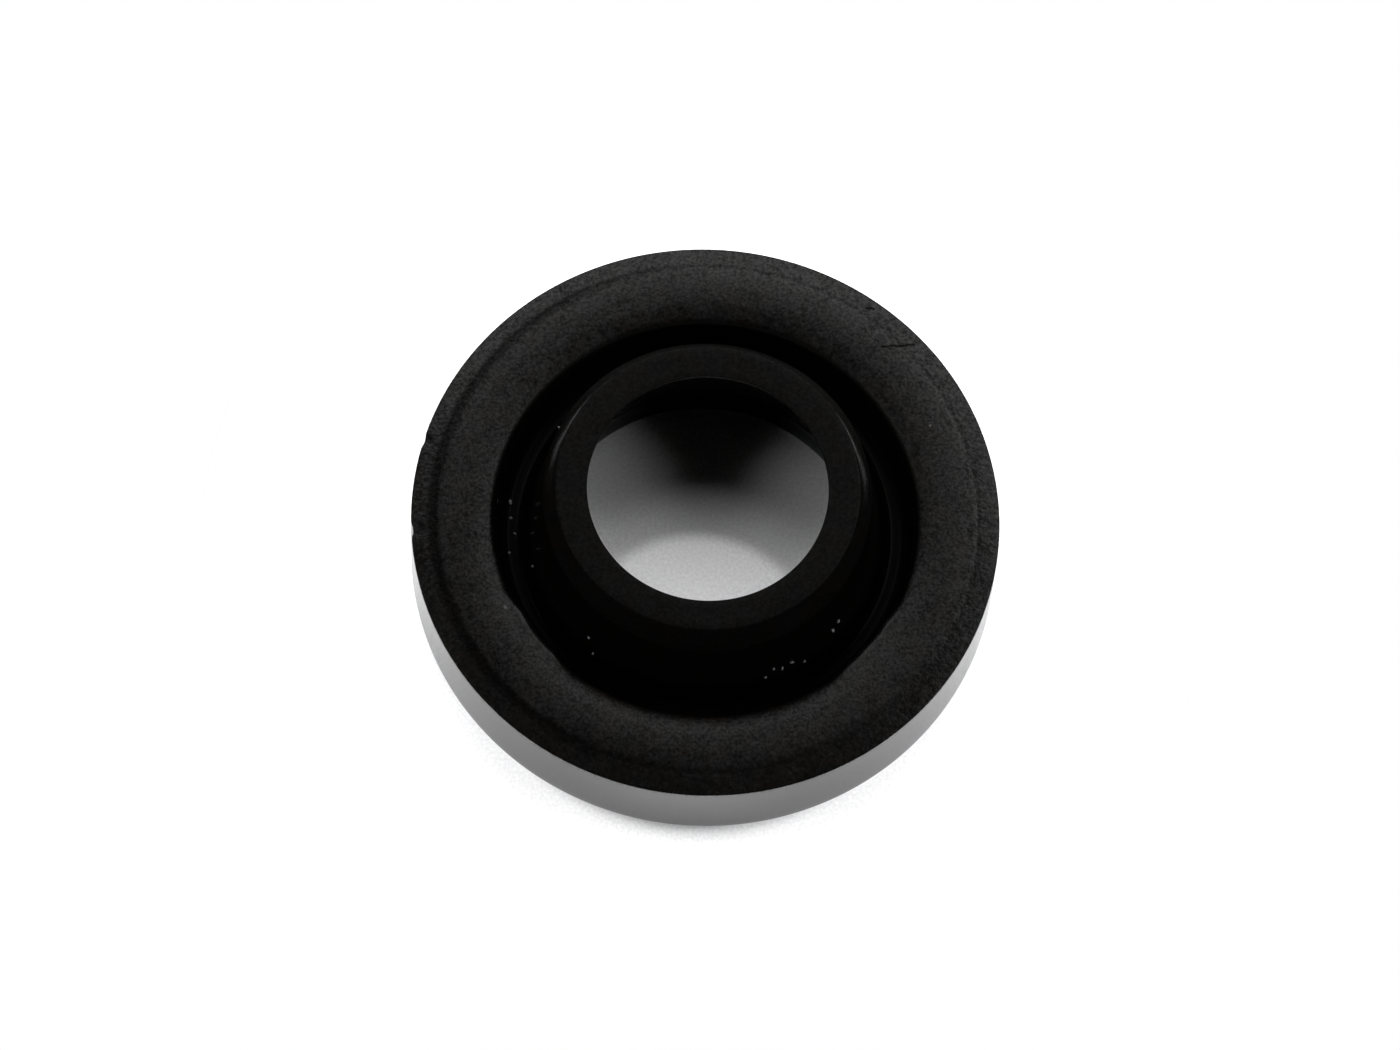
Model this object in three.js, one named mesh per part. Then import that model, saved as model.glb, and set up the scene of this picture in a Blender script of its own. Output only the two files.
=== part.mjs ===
// A small oil seal for a 10 mm shaft: one ring of moulded rubber, 22 mm across and 7 mm wide.
// It lies on its flat back with its axis on Z. A thick flange is pressed into the housing, and
// inside it, across a deep groove, a tapered lip stands up and closes on the shaft.
import * as THREE from "three";

// Fits, in millimetres: the housing bore, the shaft, and how far the free lip is under the shaft.
const HOUSING_DIAMETER = 22;
const SHAFT_DIAMETER = 10;
const LIP_INTERFERENCE = 1.05;

// Flange: its outer wall up to the corner, and the face that rises a little inside that corner.
const WALL_HEIGHT = 3.95;
const FACE_RISE = 0.25;
const LEAD_IN_DEPTH = 0.3;
const LEAD_IN_HEIGHT = 0.6;

// Where the face's level stretch starts and ends, and where its fine ring line lies, as shares
// of the flange's width counted from the groove.
const FACE_LEVEL_FROM = 0.2;
const FACE_LEVEL_TO = 0.5;
const RING_LINE_AT = 0.74;
const RING_LINE_WIDTH = 0.3;
const RING_LINE_DEPTH = 0.04;
const FACE_DROP_AT_GROOVE = 0.2;

// Groove between the flange and the lip.
const BASE_THICKNESS = 2.2;
const GROOVE_FLOOR_WIDTH = 0.94;
const GROOVE_WALL_DRAFT = 0.15;

// Lip: a flat trimmed land, a bevel round it, and a tapered sleeve that thickens into the base.
const LIP_STANDOUT = 2.8;
const LAND_WIDTH = 1.17;
const BEVEL_WIDTH = 0.45;
const BEVEL_DROP = 0.62;
const LIP_FLARE = 0.65;

// Underneath: the sealing edge's narrow band, the taper below it, and the plain bore of the base.
const EDGE_BAND_HEIGHT = 0.15;
const CAVITY_FLARE = 1.58;
const BASE_BORE_HEIGHT = 1.4;

// Radii of the rounded corners, and the most of a side that the arc at one end may take.
const FACE_ROLL = 2.5;
const WALL_CORNER = 0.06;
const GROOVE_MOUTH = 0.4;
const GROOVE_CORNER = 0.42;
const BEVEL_CORNER = 0.1;
const LAND_CORNER = 0.08;
const BACK_CORNER = 0.18;
const LEAD_IN_CORNER = 0.4;
const BORE_BEND = 1.2;
const CORNER_SHARE = 0.45;

// Fineness of the turned surface.
const RING_SEGMENTS = 80;
const ARC_STEP = Math.PI / 8;

// The outline's corners are joined by straight sides, and each corner with a radius by an arc
// that touches both sides.
function roundedOutline(corners) {
  const points = [];
  corners.forEach(([r, z, radius], i) => {
    const corner = new THREE.Vector2(r, z);
    const [beforeR, beforeZ] = corners.at(i - 1);
    const [afterR, afterZ] = corners[(i + 1) % corners.length];
    const back = new THREE.Vector2(beforeR, beforeZ).sub(corner);
    const ahead = new THREE.Vector2(afterR, afterZ).sub(corner);
    const half = back.angleTo(ahead) / 2;
    const room = CORNER_SHARE * Math.min(back.length(), ahead.length());
    const reach = Math.min(radius / Math.tan(half), room);
    if (reach === 0) {
      points.push(corner);
      return;
    }
    const start = corner.clone().add(back.setLength(reach));
    const end = corner.clone().add(ahead.setLength(reach));
    const bisector = back.clone().add(ahead).setLength(reach / Math.cos(half));
    const centre = corner.clone().add(bisector);
    const turn = Math.PI - 2 * half;
    const steps = Math.max(1, Math.ceil(turn / ARC_STEP));
    const clockwise = back.cross(ahead) > 0 ? -1 : 1;
    const spoke = start.clone().sub(centre);
    for (let step = 0; step < steps; step += 1) {
      const swing = (clockwise * turn * step) / steps;
      points.push(spoke.clone().rotateAround(new THREE.Vector2(), swing).add(centre));
    }
    points.push(end);
  });
  return points;
}

// The seal's section, from the back's inner corner outwards, over the flange, through the groove,
// over the lip and down its inside.
function sealSection() {
  const edgeRadius = (SHAFT_DIAMETER - LIP_INTERFERENCE) / 2;
  const landRadius = edgeRadius + LAND_WIDTH;
  const bevelRadius = landRadius + BEVEL_WIDTH;
  const lipFootRadius = bevelRadius + LIP_FLARE;
  const grooveFloorRadius = lipFootRadius + GROOVE_FLOOR_WIDTH;
  const grooveMouthRadius = grooveFloorRadius + GROOVE_WALL_DRAFT;
  const baseBoreRadius = edgeRadius + CAVITY_FLARE;
  const wallRadius = HOUSING_DIAMETER / 2;
  const faceHeight = WALL_HEIGHT + FACE_RISE;
  const landHeight = faceHeight + LIP_STANDOUT;

  const flangeWidth = wallRadius - grooveMouthRadius;
  const across = (share) => grooveMouthRadius + share * flangeWidth;
  const shoulderSlope = FACE_RISE / (flangeWidth * (1 - FACE_LEVEL_TO));
  const shoulderAt = (r) => WALL_HEIGHT + (wallRadius - r) * shoulderSlope;
  const lineOuter = across(RING_LINE_AT) + RING_LINE_WIDTH / 2;
  const lineInner = across(RING_LINE_AT) - RING_LINE_WIDTH / 2;

  return roundedOutline([
    [baseBoreRadius, 0, BACK_CORNER],
    [wallRadius - LEAD_IN_DEPTH, 0, BACK_CORNER],
    [wallRadius, LEAD_IN_HEIGHT, LEAD_IN_CORNER],
    [wallRadius, WALL_HEIGHT, WALL_CORNER],
    [lineOuter, shoulderAt(lineOuter), 0],
    [across(RING_LINE_AT), shoulderAt(across(RING_LINE_AT)) - RING_LINE_DEPTH, 0],
    [lineInner, shoulderAt(lineInner), 0],
    [across(FACE_LEVEL_TO), faceHeight, FACE_ROLL],
    [across(FACE_LEVEL_FROM), faceHeight, FACE_ROLL],
    [grooveMouthRadius, faceHeight - FACE_DROP_AT_GROOVE, GROOVE_MOUTH],
    [grooveFloorRadius, BASE_THICKNESS, GROOVE_CORNER],
    [lipFootRadius, BASE_THICKNESS, GROOVE_CORNER],
    [bevelRadius, landHeight - BEVEL_DROP, BEVEL_CORNER],
    [landRadius, landHeight, LAND_CORNER],
    [edgeRadius, landHeight, 0],
    [edgeRadius, landHeight - EDGE_BAND_HEIGHT, 0],
    [baseBoreRadius, BASE_BORE_HEIGHT, BORE_BEND],
  ]);
}

// LatheGeometry turns its outline about Y, so the ring is laid down to bring its axis onto Z.
function turned(outline) {
  const geometry = new THREE.LatheGeometry([...outline, outline[0]], RING_SEGMENTS);
  geometry.rotateX(Math.PI / 2);
  return geometry;
}

const rubber = new THREE.MeshStandardMaterial({
  name: "nitrile rubber",
  color: new THREE.Color(0.012, 0.0115, 0.011),
  roughness: 0.55,
  metalness: 0,
});

const sealRing = new THREE.Mesh(turned(sealSection()), rubber);
sealRing.name = "seal_ring";

const oilSeal = new THREE.Group();
oilSeal.add(sealRing);

export default oilSeal;
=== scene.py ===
import math

import bmesh
import bpy
from mathutils import Matrix, Vector


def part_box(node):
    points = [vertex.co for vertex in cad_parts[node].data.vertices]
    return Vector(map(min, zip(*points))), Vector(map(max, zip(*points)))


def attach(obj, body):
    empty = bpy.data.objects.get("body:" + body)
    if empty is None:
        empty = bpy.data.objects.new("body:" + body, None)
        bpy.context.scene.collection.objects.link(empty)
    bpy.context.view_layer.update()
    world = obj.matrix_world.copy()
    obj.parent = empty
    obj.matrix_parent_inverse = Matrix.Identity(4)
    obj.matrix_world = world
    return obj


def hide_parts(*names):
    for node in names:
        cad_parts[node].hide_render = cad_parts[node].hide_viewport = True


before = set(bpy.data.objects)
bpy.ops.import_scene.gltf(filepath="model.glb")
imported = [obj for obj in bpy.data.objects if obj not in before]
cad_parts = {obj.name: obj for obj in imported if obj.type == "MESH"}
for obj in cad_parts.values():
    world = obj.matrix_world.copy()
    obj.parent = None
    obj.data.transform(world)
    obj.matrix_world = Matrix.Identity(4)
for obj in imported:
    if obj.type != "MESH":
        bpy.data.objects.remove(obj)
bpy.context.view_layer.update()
MM = 0.001

# The seal's section: one ring of black nitrile rubber, moulded in one shot and then trimmed.
# Its outline runs over the flange, down the deep groove and over the tapered lip that grips the
# shaft. Straight sides join its corners, and arcs round them, as the mould's cutter left them.
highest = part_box("seal_ring")[1]
wall_radius = highest.x
land_height = highest.z
face_height = land_height - 2.8 * MM
wall_height = face_height - 0.25 * MM
edge_radius = 4.475 * MM
land_radius = edge_radius + 1.17 * MM
bevel_radius = land_radius + 0.45 * MM
bevel_foot_height = land_height - 0.68 * MM
lip_foot_radius = bevel_radius + 0.65 * MM
groove_floor_radius = lip_foot_radius + 0.94 * MM
groove_mouth_radius = groove_floor_radius + 0.15 * MM
groove_floor_height = 2.2 * MM
base_bore_radius = edge_radius + 1.58 * MM
flange_width = wall_radius - groove_mouth_radius
ring_line_radius = groove_mouth_radius + 0.74 * flange_width
ring_line_half = 0.15 * MM
ring_line_depth = 0.012 * MM


def shoulder_height(radius):
    """Height of the face where it slopes down to the outer wall."""
    return wall_height + (face_height - wall_height) * (wall_radius - radius) / (0.5 * flange_width)


seal_corners = [
    (base_bore_radius, 0, 0.18 * MM),
    (wall_radius - 0.3 * MM, 0, 0.18 * MM),
    (wall_radius, 0.6 * MM, 0.4 * MM),
    (wall_radius, wall_height, 0.06 * MM),
    (ring_line_radius + ring_line_half, shoulder_height(ring_line_radius + ring_line_half), 0.3 * MM),
    (ring_line_radius, shoulder_height(ring_line_radius) - ring_line_depth, 0.3 * MM),
    (ring_line_radius - ring_line_half, shoulder_height(ring_line_radius - ring_line_half), 0.3 * MM),
    (groove_mouth_radius + 0.5 * flange_width, face_height, 2.5 * MM),
    (groove_mouth_radius + 0.2 * flange_width, face_height, 2.5 * MM),
    (groove_mouth_radius, face_height - 0.2 * MM, 0.4 * MM),
    (groove_floor_radius, groove_floor_height, 0.42 * MM),
    (lip_foot_radius, groove_floor_height, 0.42 * MM),
    (bevel_radius, bevel_foot_height, 0.1 * MM),
    (land_radius, land_height, 0.08 * MM),
    (edge_radius, land_height, 0.03 * MM),
    (edge_radius, land_height - 0.15 * MM, 0.05 * MM),
    (base_bore_radius, 1.4 * MM, 1.2 * MM),
]


def rounded_outline(corners, arc_step, side_step):
    """Closed outline through corners (radius, height, rounding), with evenly cut arcs and sides."""
    outline = []
    corner_share = 0.45
    for i, (r, z, rounding) in enumerate(corners):
        corner = Vector((r, z))
        back = Vector(corners[i - 1][:2]) - corner
        ahead = Vector(corners[(i + 1) % len(corners)][:2]) - corner
        half = back.angle(ahead) / 2
        reach = min(rounding / math.tan(half), corner_share * min(back.length, ahead.length))
        start = corner + back.normalized() * reach
        bisector = (back.normalized() + ahead.normalized()).normalized()
        centre = corner + bisector * reach / math.cos(half)
        turn = math.pi - 2 * half
        steps = max(2, math.ceil(turn / arc_step))
        side = 1 if back.x * ahead.y - back.y * ahead.x < 0 else -1
        spoke = start - centre
        arc = [centre + Matrix.Rotation(side * turn * s / steps, 2) @ spoke for s in range(steps + 1)]
        if outline:
            cuts = math.ceil((arc[0] - outline[-1]).length / side_step)
            outline += [outline[-1].lerp(arc[0], c / cuts) for c in range(1, cuts)]
        outline += arc
    cuts = math.ceil((outline[0] - outline[-1]).length / side_step)
    outline += [outline[-1].lerp(outline[0], c / cuts) for c in range(1, cuts)]
    return outline


section_points = rounded_outline(seal_corners, math.radians(12), 0.36 * MM)
count = len(section_points)
section_mesh = bpy.data.meshes.new("seal_section")
section_mesh.from_pydata(
    [(p.x, -p.y, 0) for p in section_points], [(i, (i + 1) % count) for i in range(count)], []
)
seal = bpy.data.objects.new("rubber_seal", section_mesh)
bpy.context.scene.collection.objects.link(seal)

# The rubber: black, dull and mottled on the flange's face, as a blasted mould leaves it, smoother on
# its rim and wall, and freshly cut on the lip. In the groove and the bore most of its sheen is taken
# out, as painted shade in these hollows. The fine ring line on the face is darkened as painted shade,
# most on its left side; two scratches and two specks of dust are set by their places on the face.


class Nodes:
    """A node tree under construction: one method adds any node, with settings first, then sockets."""

    def __init__(self, tree):
        self.tree = tree

    def add(self, kind, settings=None, sockets=None, out=0):
        node = self.tree.nodes.new(kind)
        for name, value in (settings or {}).items():
            setattr(node, name, value)
        for key, value in (sockets or {}).items():
            if isinstance(value, Sock):
                self.tree.links.new(value.socket, node.inputs[key])
            else:
                node.inputs[key].default_value = value
        return Sock(self, node.outputs[out]) if node.outputs else None

    def parts(self, vector):
        """The three components of a vector."""
        split = self.add("ShaderNodeSeparateXYZ", None, {"Vector": vector})
        return [Sock(self, output) for output in split.socket.node.outputs]


class Sock:
    """A value in a node tree, on which + - * / and the methods below add nodes."""

    def __init__(self, nodes, socket):
        self.nodes = nodes
        self.socket = socket

    def math(self, operation, *values):
        return self.nodes.add("ShaderNodeMath", {"operation": operation}, dict(enumerate(values)))

    def __add__(self, other):
        return self.math("ADD", self, other)

    def __sub__(self, other):
        return self.math("SUBTRACT", self, other)

    def __mul__(self, other):
        return self.math("MULTIPLY", self, other)

    def __truediv__(self, other):
        return self.math("DIVIDE", self, other)

    def __radd__(self, other):
        return self.math("ADD", other, self)

    def __rsub__(self, other):
        return self.math("SUBTRACT", other, self)

    def __rmul__(self, other):
        return self.math("MULTIPLY", other, self)

    def __abs__(self):
        return self.math("ABSOLUTE", self)

    def hypot(self, other):
        return self.math("SQRT", self * self + other * other)

    def step(self, start, end):
        """0 before start, 1 after end, smooth between them; start may be the larger."""
        low, high = min(start, end), max(start, end)
        sockets = {"Value": self, "From Min": low, "From Max": high}
        sockets["To Min"], sockets["To Max"] = (0.0, 1.0) if start < end else (1.0, 0.0)
        return self.nodes.add("ShaderNodeMapRange", {"interpolation_type": "SMOOTHSTEP"}, sockets)

    def band(self, centre, half, soft):
        """1 within half of centre, falling to 0 over soft on both sides."""
        return abs(self - centre).step(half + soft, half)


rubber = bpy.data.materials.new("black nitrile rubber")
rubber.use_nodes = True
rubber.node_tree.nodes.clear()
sh = Nodes(rubber.node_tree)
coordinates = sh.add("ShaderNodeTexCoord", out="Object")
x, y, z = sh.parts(coordinates)
radius = x.hypot(y)


def noise(size, detail, seed, contrast=0.3, stretch=(1, 1, 1)):
    """Cloudy noise from 0 to 1 with features of that size, steeper as contrast gets smaller."""
    mapped = sh.add("ShaderNodeMapping", None, {"Vector": coordinates, "Scale": stretch})
    sockets = {"Vector": mapped, "W": seed, "Scale": 1 / size, "Detail": detail, "Roughness": 0.6}
    cloudy = sh.add("ShaderNodeTexNoise", {"noise_dimensions": "4D"}, sockets)
    return cloudy.step(0.5 - contrast, 0.5 + contrast)


grain = noise(0.11 * MM, 1.0, 2.0, 0.2)
specks = noise(0.2 * MM, 2.0, 7.0, 0.24)
blotches = noise(0.75 * MM, 3.0, 5.0, 0.22)
clouds = noise(3.5 * MM, 2.0, 3.0, 0.22)
hue = noise(0.9 * MM, 1.0, 9.0, 0.2)
streaks = noise(0.5 * MM, 3.0, 4.0, 0.25, stretch=(1, 1, 0.12))
on_face = radius.step(groove_mouth_radius + 0.02 * MM, groove_mouth_radius + 0.3 * MM)
on_face = on_face * z.step(wall_height - 0.3 * MM, wall_height - 0.05 * MM)
rim_radius = 9.925 * MM
on_rim = radius.step(rim_radius - 0.225 * MM, rim_radius + 0.225 * MM) * on_face
on_land = z.step(land_height - 0.06 * MM, land_height - 0.02 * MM)
on_lip = z.step(bevel_foot_height - 0.3 * MM, bevel_foot_height - 0.1 * MM)
on_wall = radius.step(wall_radius - 0.35 * MM, wall_radius - 0.05 * MM) * (1.0 - on_face)
in_groove = radius.step(groove_mouth_radius, groove_mouth_radius - 0.1 * MM)
in_groove = in_groove * z.step(face_height - 0.1 * MM, face_height - 1.2 * MM)
in_bore = radius.step(edge_radius + 0.1 * MM, edge_radius + 0.04 * MM) * (1.0 - on_land)
on_left = x.step(0.2 * wall_radius, -0.75 * wall_radius)
# Painted shade: the fine ring line of the face is darkened in colour and sheen, most on its left side, where
# the crease lies in shade.
painted_crease_shade = radius.band(ring_line_radius, 0.08 * MM, 0.28 * MM) * on_face
painted_crease_shade = painted_crease_shade * (on_left * 0.6 + blotches * 0.16)


def scratch(start, end, width):
    """1 along a thin wavering line between two points of the face, 0 beside it."""
    start, end = Vector(start) * MM, Vector(end) * MM
    length = (end - start).length
    way = (end - start) / length
    along = (x - start.x) * way.x + (y - start.y) * way.y
    beside = abs((x - start.x) * way.y - (y - start.y) * way.x + (blotches - 0.5) * 0.12 * MM)
    return beside.step(width, width * 0.4) * along.band(length / 2, length * 0.42, length * 0.08)


def dust(place, size):
    """1 in a small round spot of the face."""
    return (x - place[0] * MM).hypot(y - place[1] * MM).step(size, size * 0.5)


long_scratch = scratch((6.03, 7.39), (7.45, 7.63), 0.06 * MM)
short_scratch = scratch((5.39, 9.03), (5.8, 9.0), 0.05 * MM)
scratches = long_scratch + short_scratch
# Painted shade of the ring line, joined with the real scratches; both darken colour and sheen.
scratches_and_crease_shade = (painted_crease_shade + scratches * on_face * 0.85).step(0.0, 1.0)
right_dust = dust((8.14, 4.33), 0.07 * MM)
left_dust = dust((-7.16, -4.22), 0.09 * MM)
lint = (right_dust + left_dust) * on_face

mottle = grain * 0.9 + specks * 0.6 + blotches * 0.34 + clouds * 0.2
shade = 0.0005 + (on_face * (1.0 - on_rim * 0.3) * 0.0011 + on_lip * 0.0003) * mottle
# Colour: painted shade of the ring line and the real scratches darken it, and dust lightens it.
shade = shade * (1.0 - scratches_and_crease_shade * 0.7) + lint * 0.02
red, blue = shade * (0.98 + hue * 0.2), shade * (1.02 - hue * 0.24)
tint = sh.add("ShaderNodeCombineColor", None, {"Red": red, "Green": shade, "Blue": blue})
dull = on_face * (0.16 + specks * 0.1 + blotches * 0.08) * (1.0 - on_rim * 0.55)
roughness = 0.14 + dull + on_land * 0.16 + on_wall * (grain * 0.05 + streaks * 0.05)
# Painted shade: the groove and the bore lose most of their sheen, so that these hollows stay dark.
open_gloss = 0.5 - on_lip * 0.32 - in_groove * 0.36 - in_bore * 0.42
uneven = (on_face + on_lip * 0.6) * (mottle - 1.02) * 0.85 + on_wall * (grain + streaks - 1.0) * 0.1
gloss = open_gloss * (1.0 + uneven) * (1.0 - scratches_and_crease_shade * 0.8)
relief = (grain * 0.4 + specks * 0.8) * (0.12 + on_face * 0.88) - scratches * 1.5
bump = sh.add("ShaderNodeBump", None, {"Strength": 0.3, "Distance": 0.02 * MM, "Height": relief})
rubber_index = 1.52
dull_level = 0.1
shiny_level = 0.8
skin = {"Base Color": tint, "Roughness": roughness, "Normal": bump, "IOR": rubber_index}
dull_skin = sh.add("ShaderNodeBsdfPrincipled", None, {**skin, "Specular IOR Level": dull_level})
shiny_skin = sh.add("ShaderNodeBsdfPrincipled", None, {**skin, "Specular IOR Level": shiny_level})
shine = (gloss - dull_level) / (shiny_level - dull_level)
surface = sh.add("ShaderNodeMixShader", None, {0: shine, 1: dull_skin, 2: shiny_skin})
sh.add("ShaderNodeOutputMaterial", None, {"Surface": surface})

# The ring: the section is swept round the shaft axis, as the lathe that cut the mould went. The
# ragged flash that trimming left then stands into the groove's mouth at two places, and two small
# nicks are pressed into the flange's edge. The seal lies on its flat back, held by nothing.


def new_tree(name, inputs):
    """A Geometry Nodes tree with a geometry in and out and named inputs, and their identifiers."""
    tree = bpy.data.node_groups.new(name, "GeometryNodeTree")
    tree.interface.new_socket("Geometry", in_out="OUTPUT", socket_type="NodeSocketGeometry")
    tree.interface.new_socket("Geometry", in_out="INPUT", socket_type="NodeSocketGeometry")
    settings = {}
    for label, (kind, value) in inputs.items():
        socket = tree.interface.new_socket(label, in_out="INPUT", socket_type=kind)
        settings[socket.identifier] = value
    return Nodes(tree), settings


def applied(thing, tree, settings):
    """The mesh that the tree makes of the thing, which takes it as its own."""
    modifier = thing.modifiers.new(tree.name, "NODES")
    modifier.node_group = tree
    for identifier, value in settings.items():
        modifier[identifier] = value
    made = bpy.data.meshes.new_from_object(thing.evaluated_get(bpy.context.evaluated_depsgraph_get()))
    thing.modifiers.remove(modifier)
    thing.data = made
    return made


ring_nodes, ring_settings = new_tree("turn the seal", {
    "Steps round": ("NodeSocketInt", 560),
    "Pitch radius": ("NodeSocketFloat", groove_floor_radius),
    "Flash depth": ("NodeSocketFloat", 0.2 * MM),
    "Flash spread": ("NodeSocketFloat", math.radians(13)),
    "Flash right": ("NodeSocketFloat", math.radians(-36)),
    "Flash left": ("NodeSocketFloat", math.radians(-139)),
    "Nick depth": ("NodeSocketFloat", 0.07 * MM),
    "Waviness": ("NodeSocketFloat", 0.022 * MM),
    "Seed": ("NodeSocketFloat", 4.0),
    "Rubber": ("NodeSocketMaterial", rubber),
})
group_in = ring_nodes.tree.nodes.new("NodeGroupInput")
given = {output.name: Sock(ring_nodes, output) for output in group_in.outputs}
circle = {"Resolution": given["Steps round"], "Radius": given["Pitch radius"]}
rail = ring_nodes.add("GeometryNodeCurvePrimitiveCircle", None, circle)
rail = ring_nodes.add("GeometryNodeSetCurveNormal", {"mode": "Z_UP"}, {"Curve": rail})
outline = ring_nodes.add("GeometryNodeMeshToCurve", None, {"Mesh": given["Geometry"]})
shift = ring_nodes.add("ShaderNodeCombineXYZ", None, {"X": 0.0 - given["Pitch radius"]})
outline = ring_nodes.add("GeometryNodeSetPosition", None, {"Geometry": outline, "Offset": shift})
ring = ring_nodes.add("GeometryNodeCurveToMesh", None, {"Curve": rail, "Profile Curve": outline})

place = ring_nodes.add("GeometryNodeInputPosition")
at_x, at_y, at_z = ring_nodes.parts(place)
reach = at_x.hypot(at_y)
angle = at_x.math("ARCTAN2", at_y, at_x)
rough_edge = {"Vector": place, "W": given["Seed"], "Scale": 900.0, "Detail": 3.0}
ragged = ring_nodes.add("ShaderNodeTexNoise", {"noise_dimensions": "4D"}, rough_edge)
slow = {"Vector": place, "W": given["Seed"], "Scale": 260.0, "Detail": 1.0}
waving = ring_nodes.add("ShaderNodeTexNoise", {"noise_dimensions": "4D"}, slow)
from_right = abs(angle - given["Flash right"]) / given["Flash spread"]
from_left = abs(angle - given["Flash left"]) / given["Flash spread"]
stretches = from_right.step(1.25, 0.5) + from_left.step(1.15, 0.55)
at_mouth = reach.band(groove_mouth_radius, 0.1 * MM, 0.45 * MM)
at_mouth = at_mouth * at_z.band(face_height - 0.3 * MM, 0.12 * MM, 0.4 * MM)
flash = stretches * at_mouth * (0.45 + ragged) * given["Flash depth"]
wave = at_mouth * (waving - 0.5) * given["Waviness"] * 2.0
at_edge = reach.step(wall_radius - 0.3 * MM, wall_radius) * at_z.band(wall_height, 0.1 * MM, 0.3 * MM)
upper_nick = angle.band(math.radians(168), math.radians(0.5), math.radians(0.9))
lower_nick = angle.band(math.radians(-173), math.radians(0.7), math.radians(0.9))
nicks = at_edge * (upper_nick * 0.7 + lower_nick) * given["Nick depth"]
inward = (0.0 - flash - wave - nicks) / reach
offset = {"X": at_x * inward, "Y": at_y * inward, "Z": flash * 0.12 - nicks * 0.5}
move = ring_nodes.add("ShaderNodeCombineXYZ", None, offset)
ring = ring_nodes.add("GeometryNodeSetPosition", None, {"Geometry": ring, "Offset": move})
ring = ring_nodes.add("GeometryNodeRealizeInstances", None, {"Geometry": ring})
ring = ring_nodes.add("GeometryNodeSetMaterial", None, {"Geometry": ring, "Material": given["Rubber"]})
ring_nodes.add("NodeGroupOutput", None, {"Geometry": ring})

seal_mesh = applied(seal, ring_nodes.tree, ring_settings)
tidy = bmesh.new()
tidy.from_mesh(seal_mesh)
bmesh.ops.remove_doubles(tidy, verts=tidy.verts, dist=0.0005 * MM)
bmesh.ops.recalc_face_normals(tidy, faces=tidy.faces)
if tidy.calc_volume(signed=True) < 0:
    bmesh.ops.reverse_faces(tidy, faces=tidy.faces)
tidy.to_mesh(seal_mesh)
tidy.free()
seal_mesh.shade_smooth()
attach(seal, "root")
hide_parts("seal_ring")

# Small lumps, each smaller than a pinhead, that stick to the lip's sleeve and to the groove's floor at
# the places where the seal shows small bright specks. Their grey is far lighter than the seal's black,
# so that they show as those specks. One lump is set at each place, turned and stretched by chance
# from a fixed seed.
sleeve_slope = (lip_foot_radius - bevel_radius) / (bevel_foot_height - groove_floor_height)


def on_sleeve(turn, height):
    """A point of the lip's outer side, at a turn clockwise from the right, in degrees."""
    r = bevel_radius + (bevel_foot_height - height) * sleeve_slope
    return Vector((r * math.cos(math.radians(turn)), -r * math.sin(math.radians(turn)), height))


def on_floor(turn, r):
    """A point of the groove's floor."""
    return Vector((r * math.cos(math.radians(turn)), -r * math.sin(math.radians(turn)), groove_floor_height))


crumb_places = [on_sleeve(turn, height * MM) for turn, height in (
    (36, 4.15), (39, 3.95), (52, 3.35), (56.5, 3.8), (60, 3.7), (63, 3.9), (66, 3.5),
    (125, 3.1), (128, 3.95), (162, 2.95), (205, 5.3),
)]
crumb_places += [on_floor(turn, r * MM) for turn, r in ((170, 7.35), (176, 7.12), (181, 7.3), (186, 7.4))]
crumb_mesh = bpy.data.meshes.new("crumb_places")
crumb_mesh.from_pydata(crumb_places, [], [])
crumbs = bpy.data.objects.new("rubber_crumbs", crumb_mesh)
bpy.context.scene.collection.objects.link(crumbs)
crumb_rubber = bpy.data.materials.new("light grey crumbs")
crumb_rubber.use_nodes = True
crumb_rubber.node_tree.nodes.clear()
lump_shader = Nodes(crumb_rubber.node_tree)
pit_size = 0.06 * MM
lump_place = lump_shader.add("ShaderNodeTexCoord", out="Object")
pit_noise = {"Vector": lump_place, "Scale": 1 / pit_size, "Detail": 2.0}
pits = lump_shader.add("ShaderNodeTexNoise", None, pit_noise)
grey = 0.03 + pits * 0.05
crumb_tint = lump_shader.add("ShaderNodeCombineColor", None, {"Red": grey, "Green": grey, "Blue": grey * 1.03})
pitted = lump_shader.add("ShaderNodeBump", None, {"Strength": 0.5, "Distance": 0.02 * MM, "Height": pits})
lump_look = {"Base Color": crumb_tint, "Roughness": 0.55, "Normal": pitted}
lump_skin = lump_shader.add("ShaderNodeBsdfPrincipled", None, lump_look)
lump_shader.add("ShaderNodeOutputMaterial", None, {"Surface": lump_skin})
crumb_nodes, crumb_settings = new_tree("set crumbs", {
    "Size": ("NodeSocketFloat", 0.07 * MM),
    "Seed": ("NodeSocketInt", 11),
    "Rubber": ("NodeSocketMaterial", crumb_rubber),
})
group_in = crumb_nodes.tree.nodes.new("NodeGroupInput")
given = {output.name: Sock(crumb_nodes, output) for output in group_in.outputs}
lump = crumb_nodes.add("GeometryNodeMeshIcoSphere", None, {"Radius": given["Size"], "Subdivisions": 3})
spread = {"Min": (0.0, 0.0, 0.0), "Max": (math.tau, math.tau, math.tau), "Seed": given["Seed"]}
turned = crumb_nodes.add("FunctionNodeRandomValue", {"data_type": "FLOAT_VECTOR"}, spread)
spread = {"Min": (0.7, 0.7, 0.5), "Max": (1.6, 1.2, 0.9), "Seed": given["Seed"]}
sized = crumb_nodes.add("FunctionNodeRandomValue", {"data_type": "FLOAT_VECTOR"}, spread)
stand = {"Points": given["Geometry"], "Instance": lump, "Rotation": turned, "Scale": sized}
lumps = crumb_nodes.add("GeometryNodeInstanceOnPoints", None, stand)
lumps = crumb_nodes.add("GeometryNodeRealizeInstances", None, {"Geometry": lumps})
lumps = crumb_nodes.add("GeometryNodeSetMaterial", None, {"Geometry": lumps, "Material": given["Rubber"]})
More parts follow.
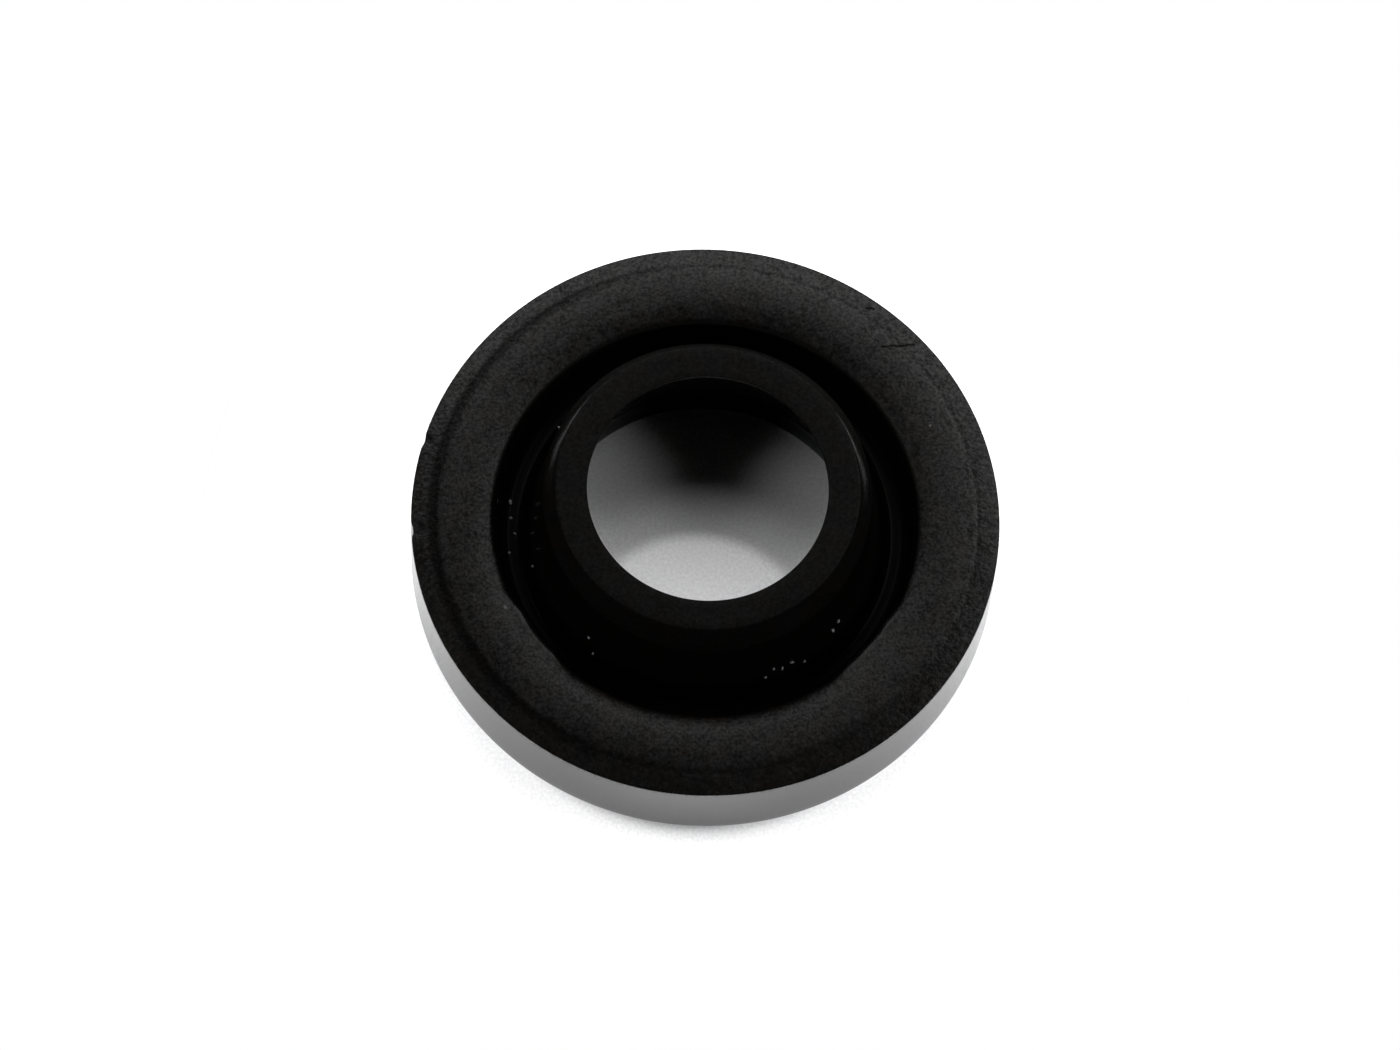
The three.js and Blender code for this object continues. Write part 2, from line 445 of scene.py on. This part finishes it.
crumb_nodes.add("NodeGroupOutput", None, {"Geometry": lumps})
applied(crumbs, crumb_nodes.tree, crumb_settings).shade_smooth()
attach(crumbs, "root")

# The table: a round sheet of white paper, so bright in the picture that its edge can't be seen.
# Fine fibres make its tone a little uneven where the seal shades it.
floor_mesh = bpy.data.meshes.new("white_paper")
disc = bmesh.new()
bmesh.ops.create_circle(disc, cap_ends=True, segments=96, radius=19 * MM)
disc.to_mesh(floor_mesh)
disc.free()
floor = bpy.data.objects.new("white_paper", floor_mesh)
bpy.context.scene.collection.objects.link(floor)
paper = bpy.data.materials.new("white paper")
paper.use_nodes = True
paper.node_tree.nodes.clear()
pulp = Nodes(paper.node_tree)
sheet = pulp.add("ShaderNodeTexCoord", out="Object")
fibre_size = 0.12 * MM
fibres = {"Vector": sheet, "Scale": 1 / fibre_size, "Detail": 2.0}
whiteness = 0.86 + (pulp.add("ShaderNodeTexNoise", None, fibres) - 0.5) * 0.35
white = {"Red": whiteness, "Green": whiteness, "Blue": whiteness * 1.01}
white = pulp.add("ShaderNodeCombineColor", None, white)
matt = {"Base Color": white, "Roughness": 0.9, "Specular IOR Level": 0.0}
matt = pulp.add("ShaderNodeBsdfPrincipled", None, matt)
pulp.add("ShaderNodeOutputMaterial", None, {"Surface": matt})
floor_mesh.materials.append(paper)


def lamp(name, elevation, azimuth, strength, width):
    """A distant lamp at that elevation; azimuth 0 is behind the seal, and positive to the right."""
    light = bpy.data.lights.new(name, "SUN")
    light.energy = strength
    light.angle = math.radians(width)
    made = bpy.data.objects.new(name, light)
    bpy.context.scene.collection.objects.link(made)
    up, round_to = math.radians(elevation), math.radians(azimuth)
    towards = Vector((math.cos(up) * math.sin(round_to), math.cos(up) * math.cos(round_to), math.sin(up)))
    made.rotation_euler = towards.to_track_quat("Z", "Y").to_euler()
    made.visible_glossy = False


# The light: a small lamp behind the seal that throws a bright patch through its bore, a soft glow
# round it, low lamps on the other sides that leave the groove dark, and two faint higher ones that
# reach the sides of the table inside the bore.
lamp("back_lamp", 62.5, 0, 0.8, 4.5)
lamp("back_glow", 57, 0, 1.9, 46)
lamp("front_glow", 18, 180, 3.4, 28)
for side in (-1, 1):
    lamp("side_glow", 28, 74 * side, 4.2, 34)
    lamp("high_side_glow", 46, 100 * side, 0.4, 18)

# The room, which the rubber mirrors: a soft glow behind and to the right of the seal, fainter ones
# at the sides, and darkness overhead. The camera itself sees plain white.
world = bpy.data.worlds.new("dim room")
bpy.context.scene.world = world
world.use_nodes = True
world.node_tree.nodes.clear()
room = Nodes(world.node_tree)
look_x, look_y, look_z = room.parts(room.add("ShaderNodeTexCoord", out="Generated"))
glow_way = math.radians(15)
level = look_x.hypot(look_y)
towards_glow = (look_y * math.cos(glow_way) + look_x * math.sin(glow_way)) / level
glow = towards_glow.step(0.35, 0.8) * look_z.step(0.965, 0.74) * look_z.step(0.4, 0.65)
sideways = abs(look_x / level).step(0.87, 0.97) * look_z.step(0.93, 0.82) * look_z.step(0.62, 0.74)
seen = room.add("ShaderNodeLightPath", out="Is Camera Ray")
brightness = seen + (1.0 - seen) * (0.004 + glow * 0.95 + sideways * 0.4)
sky = room.add("ShaderNodeBackground", None, {"Color": (1, 1, 1, 1), "Strength": brightness})
room.add("ShaderNodeOutputWorld", None, {"Surface": sky})

# The camera looks down at the seal from the front and from 300 mm away, with the slight turn of a
# picture taken by hand. The picture's width, its scale in pixels to a millimetre, and the place
# of the seal's axis from its middle are those of a picture 1400 by 1050 pixels.
picture_width = 1400
picture_scale = 26.78
camera_distance = 300 * MM
elevation = math.radians(68.1)
roll = math.radians(4.3)
axis_right_of_centre = 5.6
axis_above_centre = 7.0
camera_data = bpy.data.cameras.new("camera")
camera = bpy.data.objects.new("camera", camera_data)
bpy.context.scene.collection.objects.link(camera)
camera_data.sensor_width = 36
camera_data.lens = camera_data.sensor_width * picture_scale * camera_distance / MM / picture_width
camera_data.clip_start = 10 * MM
forward = Vector((0, math.cos(elevation), -math.sin(elevation)))
right = Matrix.Rotation(-roll, 3, forward) @ Vector((1, 0, 0))
up = right.cross(forward)
aim_height = 4 * MM
aim = Vector((0, 0, aim_height))
aim -= right * axis_right_of_centre / picture_scale * MM
aim -= up * axis_above_centre / picture_scale * MM
turn = Matrix((right, up, -forward)).transposed().to_4x4()
camera.matrix_world = Matrix.Translation(aim - forward * camera_distance) @ turn
bpy.context.scene.camera = camera
bpy.context.scene.view_settings.view_transform = "Standard"
